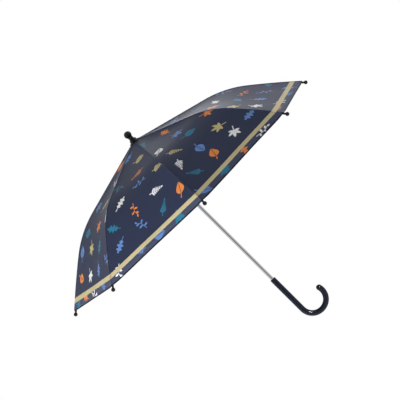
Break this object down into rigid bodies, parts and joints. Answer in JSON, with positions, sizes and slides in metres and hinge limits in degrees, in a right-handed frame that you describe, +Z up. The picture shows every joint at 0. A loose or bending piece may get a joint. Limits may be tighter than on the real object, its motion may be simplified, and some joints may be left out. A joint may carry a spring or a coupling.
{
  "type": "children's umbrella",
  "caption": "Child's stick umbrella: a domed cloth canopy on hinged ribs and stretchers, a sliding runner with sprung catches, and a J handle.",
  "frame": {"origin": "middle of the straight grip, on the shaft's axis", "axes": "+Z up the shaft to the ferrule, +X the side that the hook opens to"},
  "size_m": [0.7168, 0.7168, 0.5831],
  "materials": {
    "polished_steel": "polished",
    "steel": "satin",
    "handle_navy": "gloss",
    "gloss_black": "gloss",
    "hub_black": "satin",
    "cloth": "printed satin cloth"
  },
  "bodies": {
    "root": {"shaft": "polished_steel", "handle": "handle_navy", "ferrule": "gloss_black", "canopy_cap": "gloss_black", "top_notch": "hub_black", "notch_wire": "steel", "catch_pins": "steel"},
    "runner": {"runner": "hub_black", "runner_wire": "steel"},
    "top_catch": {"top_catch": "steel"},
    "bottom_catch": {"bottom_catch": "steel"},
    "rib_1": {"rib_1": "steel", "rib_tip_1": "gloss_black", "rib_joint_1": "steel"},
    "stretcher_1": {"stretcher_1": "steel"},
    "rib_2": {"rib_2": "steel", "rib_tip_2": "gloss_black", "rib_joint_2": "steel"},
    "stretcher_2": {"stretcher_2": "steel"},
    "rib_3": {"rib_3": "steel", "rib_tip_3": "gloss_black", "rib_joint_3": "steel"},
    "stretcher_3": {"stretcher_3": "steel"},
    "rib_4": {"rib_4": "steel", "rib_tip_4": "gloss_black", "rib_joint_4": "steel"},
    "stretcher_4": {"stretcher_4": "steel"},
    "rib_5": {"rib_5": "steel", "rib_tip_5": "gloss_black", "rib_joint_5": "steel"},
    "stretcher_5": {"stretcher_5": "steel"},
    "rib_6": {"rib_6": "steel", "rib_tip_6": "gloss_black", "rib_joint_6": "steel"},
    "stretcher_6": {"stretcher_6": "steel"},
    "rib_7": {"rib_7": "steel", "rib_tip_7": "gloss_black", "rib_joint_7": "steel"},
    "stretcher_7": {"stretcher_7": "steel"},
    "rib_8": {"rib_8": "steel", "rib_tip_8": "gloss_black", "rib_joint_8": "steel"},
    "stretcher_8": {"stretcher_8": "steel"},
    "gore_1_left": {"gore_1_left": "cloth"},
    "gore_1_right": {"gore_1_right": "cloth"},
    "gore_2_left": {"gore_2_left": "cloth"},
    "gore_2_right": {"gore_2_right": "cloth"},
    "gore_3_left": {"gore_3_left": "cloth"},
    "gore_3_right": {"gore_3_right": "cloth"},
    "gore_4_left": {"gore_4_left": "cloth"},
    "gore_4_right": {"gore_4_right": "cloth"},
    "gore_5_left": {"gore_5_left": "cloth"},
    "gore_5_right": {"gore_5_right": "cloth"},
    "gore_6_left": {"gore_6_left": "cloth"},
    "gore_6_right": {"gore_6_right": "cloth"},
    "gore_7_left": {"gore_7_left": "cloth"},
    "gore_7_right": {"gore_7_right": "cloth"},
    "gore_8_left": {"gore_8_left": "cloth"},
    "gore_8_right": {"gore_8_right": "cloth"}
  },
  "joints": [
    {"name": "rib_1_fold", "type": "hinge", "parent": "root", "child": "rib_1", "pos_m": [0.00899, 0.00039, 0.467], "axis": [-0.0436, 0.999, 0], "range_deg": [0, 63], "deforming": ["gore_1_left", "gore_1_right", "gore_2_left", "gore_2_right", "gore_3_left", "gore_3_right", "gore_4_left", "gore_4_right", "gore_5_left", "gore_5_right", "gore_6_left", "gore_6_right", "gore_7_left", "gore_7_right", "gore_8_left", "gore_8_right", "top_catch", "bottom_catch"]},
    {"name": "rib_2_fold", "type": "hinge", "parent": "root", "child": "rib_2", "pos_m": [0.00608, 0.00664, 0.467], "axis": [-0.7373, 0.6756, 0], "range_deg": [0, 63]},
    {"name": "rib_3_fold", "type": "hinge", "parent": "root", "child": "rib_3", "pos_m": [-0.00039, 0.00899, 0.467], "axis": [-0.999, -0.0436, 0], "range_deg": [0, 63]},
    {"name": "rib_4_fold", "type": "hinge", "parent": "root", "child": "rib_4", "pos_m": [-0.00664, 0.00608, 0.467], "axis": [-0.6756, -0.7373, 0], "range_deg": [0, 63]},
    {"name": "rib_5_fold", "type": "hinge", "parent": "root", "child": "rib_5", "pos_m": [-0.00899, -0.00039, 0.467], "axis": [0.0436, -0.999, 0], "range_deg": [0, 63]},
    {"name": "rib_6_fold", "type": "hinge", "parent": "root", "child": "rib_6", "pos_m": [-0.00608, -0.00664, 0.467], "axis": [0.7373, -0.6756, 0], "range_deg": [0, 63]},
    {"name": "rib_7_fold", "type": "hinge", "parent": "root", "child": "rib_7", "pos_m": [0.00039, -0.00899, 0.467], "axis": [0.999, 0.0436, 0], "range_deg": [0, 63]},
    {"name": "rib_8_fold", "type": "hinge", "parent": "root", "child": "rib_8", "pos_m": [0.00664, -0.00608, 0.467], "axis": [0.6756, 0.7373, 0], "range_deg": [0, 63]},
    {"name": "stretcher_1_turn", "type": "hinge", "parent": "rib_1", "child": "stretcher_1", "pos_m": [0.1621, 0.00708, 0.42076], "axis": [-0.0436, 0.999, 0], "range_deg": [-126, 0]},
    {"name": "stretcher_2_turn", "type": "hinge", "parent": "rib_2", "child": "stretcher_2", "pos_m": [0.10962, 0.11963, 0.42076], "axis": [-0.7373, 0.6756, 0], "range_deg": [-126, 0]},
    {"name": "stretcher_3_turn", "type": "hinge", "parent": "rib_3", "child": "stretcher_3", "pos_m": [-0.00708, 0.1621, 0.42076], "axis": [-0.999, -0.0436, 0], "range_deg": [-126, 0]},
    {"name": "stretcher_4_turn", "type": "hinge", "parent": "rib_4", "child": "stretcher_4", "pos_m": [-0.11963, 0.10962, 0.42076], "axis": [-0.6756, -0.7373, 0], "range_deg": [-126, 0]},
    {"name": "stretcher_5_turn", "type": "hinge", "parent": "rib_5", "child": "stretcher_5", "pos_m": [-0.1621, -0.00708, 0.42076], "axis": [0.0436, -0.999, 0], "range_deg": [-126, 0]},
    {"name": "stretcher_6_turn", "type": "hinge", "parent": "rib_6", "child": "stretcher_6", "pos_m": [-0.10962, -0.11963, 0.42076], "axis": [0.7373, -0.6756, 0], "range_deg": [-126, 0]},
    {"name": "stretcher_7_turn", "type": "hinge", "parent": "rib_7", "child": "stretcher_7", "pos_m": [0.00708, -0.1621, 0.42076], "axis": [0.999, 0.0436, 0], "range_deg": [-126, 0]},
    {"name": "stretcher_8_turn", "type": "hinge", "parent": "rib_8", "child": "stretcher_8", "pos_m": [0.11963, -0.10962, 0.42076], "axis": [0.6756, 0.7373, 0], "range_deg": [-126, 0]},
    {"name": "runner_slide", "type": "hinge", "parent": "stretcher_1", "child": "runner", "pos_m": [0.00899, 0.00039, 0.37452], "axis": [-0.0436, 0.999, 0], "range_deg": [0, 63]},
    {"name": "gore_1_left_pleat", "type": "hinge", "parent": "rib_1", "child": "gore_1_left", "pos_m": [0.04628, -0.11009, 0.53407], "axis": [0.9403, -0.0011, -0.3402], "range_deg": [0, 55.9]},
    {"name": "gore_1_right_pleat", "type": "hinge", "parent": "rib_1", "child": "gore_1_right", "pos_m": [0.03651, 0.1137, 0.53407], "axis": [0.9367, 0.0831, -0.3402], "range_deg": [-55.9, 0]},
    {"name": "gore_2_left_pleat", "type": "hinge", "parent": "rib_2", "child": "gore_2_left", "pos_m": [0.11057, -0.04512, 0.53407], "axis": [0.6657, 0.6641, -0.3402], "range_deg": [0, 55.9]},
    {"name": "gore_2_right_pleat", "type": "hinge", "parent": "rib_2", "child": "gore_2_right", "pos_m": [-0.05458, 0.10622, 0.53407], "axis": [0.6036, 0.721, -0.3402], "range_deg": [-55.9, 0]},
    {"name": "gore_3_left_pleat", "type": "hinge", "parent": "rib_3", "child": "gore_3_left", "pos_m": [0.11009, 0.04628, 0.53407], "axis": [0.0011, 0.9403, -0.3402], "range_deg": [0, 55.9]},
    {"name": "gore_3_right_pleat", "type": "hinge", "parent": "rib_3", "child": "gore_3_right", "pos_m": [-0.1137, 0.03651, 0.53407], "axis": [-0.0831, 0.9367, -0.3402], "range_deg": [-55.9, 0]},
    {"name": "gore_4_left_pleat", "type": "hinge", "parent": "rib_4", "child": "gore_4_left", "pos_m": [0.04512, 0.11057, 0.53407], "axis": [-0.6641, 0.6657, -0.3402], "range_deg": [0, 55.9]},
    {"name": "gore_4_right_pleat", "type": "hinge", "parent": "rib_4", "child": "gore_4_right", "pos_m": [-0.10622, -0.05458, 0.53407], "axis": [-0.721, 0.6036, -0.3402], "range_deg": [-55.9, 0]},
    {"name": "gore_5_left_pleat", "type": "hinge", "parent": "rib_5", "child": "gore_5_left", "pos_m": [-0.04628, 0.11009, 0.53407], "axis": [-0.9403, 0.0011, -0.3402], "range_deg": [0, 55.9]},
    {"name": "gore_5_right_pleat", "type": "hinge", "parent": "rib_5", "child": "gore_5_right", "pos_m": [-0.03651, -0.1137, 0.53407], "axis": [-0.9367, -0.0831, -0.3402], "range_deg": [-55.9, 0]},
    {"name": "gore_6_left_pleat", "type": "hinge", "parent": "rib_6", "child": "gore_6_left", "pos_m": [-0.11057, 0.04512, 0.53407], "axis": [-0.6657, -0.6641, -0.3402], "range_deg": [0, 55.9]},
    {"name": "gore_6_right_pleat", "type": "hinge", "parent": "rib_6", "child": "gore_6_right", "pos_m": [0.05458, -0.10622, 0.53407], "axis": [-0.6036, -0.721, -0.3402], "range_deg": [-55.9, 0]},
    {"name": "gore_7_left_pleat", "type": "hinge", "parent": "rib_7", "child": "gore_7_left", "pos_m": [-0.11009, -0.04628, 0.53407], "axis": [-0.0011, -0.9403, -0.3402], "range_deg": [0, 55.9]},
    {"name": "gore_7_right_pleat", "type": "hinge", "parent": "rib_7", "child": "gore_7_right", "pos_m": [0.1137, -0.03651, 0.53407], "axis": [0.0831, -0.9367, -0.3402], "range_deg": [-55.9, 0]},
    {"name": "gore_8_left_pleat", "type": "hinge", "parent": "rib_8", "child": "gore_8_left", "pos_m": [-0.04512, -0.11057, 0.53407], "axis": [0.6641, -0.6657, -0.3402], "range_deg": [0, 55.9]},
    {"name": "gore_8_right_pleat", "type": "hinge", "parent": "rib_8", "child": "gore_8_right", "pos_m": [0.10622, 0.05458, 0.53407], "axis": [0.721, -0.6036, -0.3402], "range_deg": [-55.9, 0]},
    {"name": "top_catch_press", "type": "hinge", "parent": "root", "child": "top_catch", "pos_m": [0, 0, 0.31022], "axis": [1, 0, 0], "range_deg": [0, 5], "stiffness_Nm_per_rad": 0.8, "springref_deg": -1.15},
    {"name": "bottom_catch_press", "type": "hinge", "parent": "root", "child": "bottom_catch", "pos_m": [0, 0, 0.10161], "axis": [1, 0, 0], "range_deg": [0, 5], "stiffness_Nm_per_rad": 0.8, "springref_deg": -1.15}
  ],
  "couplings": [
    {"joint": "rib_2_fold", "follows": "rib_1_fold", "ratio": 1},
    {"joint": "rib_3_fold", "follows": "rib_1_fold", "ratio": 1},
    {"joint": "rib_4_fold", "follows": "rib_1_fold", "ratio": 1},
    {"joint": "rib_5_fold", "follows": "rib_1_fold", "ratio": 1},
    {"joint": "rib_6_fold", "follows": "rib_1_fold", "ratio": 1},
    {"joint": "rib_7_fold", "follows": "rib_1_fold", "ratio": 1},
    {"joint": "rib_8_fold", "follows": "rib_1_fold", "ratio": 1},
    {"joint": "stretcher_1_turn", "follows": "rib_1_fold", "ratio": -2},
    {"joint": "stretcher_2_turn", "follows": "rib_1_fold", "ratio": -2},
    {"joint": "stretcher_3_turn", "follows": "rib_1_fold", "ratio": -2},
    {"joint": "stretcher_4_turn", "follows": "rib_1_fold", "ratio": -2},
    {"joint": "stretcher_5_turn", "follows": "rib_1_fold", "ratio": -2},
    {"joint": "stretcher_6_turn", "follows": "rib_1_fold", "ratio": -2},
    {"joint": "stretcher_7_turn", "follows": "rib_1_fold", "ratio": -2},
    {"joint": "stretcher_8_turn", "follows": "rib_1_fold", "ratio": -2},
    {"joint": "runner_slide", "follows": "rib_1_fold", "ratio": 1},
    {"joint": "gore_1_left_pleat", "follows": "rib_1_fold", "ratio": 0.8873},
    {"joint": "gore_1_right_pleat", "follows": "rib_1_fold", "ratio": -0.8873},
    {"joint": "gore_2_left_pleat", "follows": "rib_1_fold", "ratio": 0.8873},
    {"joint": "gore_2_right_pleat", "follows": "rib_1_fold", "ratio": -0.8873},
    {"joint": "gore_3_left_pleat", "follows": "rib_1_fold", "ratio": 0.8873},
    {"joint": "gore_3_right_pleat", "follows": "rib_1_fold", "ratio": -0.8873},
    {"joint": "gore_4_left_pleat", "follows": "rib_1_fold", "ratio": 0.8873},
    {"joint": "gore_4_right_pleat", "follows": "rib_1_fold", "ratio": -0.8873},
    {"joint": "gore_5_left_pleat", "follows": "rib_1_fold", "ratio": 0.8873},
    {"joint": "gore_5_right_pleat", "follows": "rib_1_fold", "ratio": -0.8873},
    {"joint": "gore_6_left_pleat", "follows": "rib_1_fold", "ratio": 0.8873},
    {"joint": "gore_6_right_pleat", "follows": "rib_1_fold", "ratio": -0.8873},
    {"joint": "gore_7_left_pleat", "follows": "rib_1_fold", "ratio": 0.8873},
    {"joint": "gore_7_right_pleat", "follows": "rib_1_fold", "ratio": -0.8873},
    {"joint": "gore_8_left_pleat", "follows": "rib_1_fold", "ratio": 0.8873},
    {"joint": "gore_8_right_pleat", "follows": "rib_1_fold", "ratio": -0.8873}
  ]
}
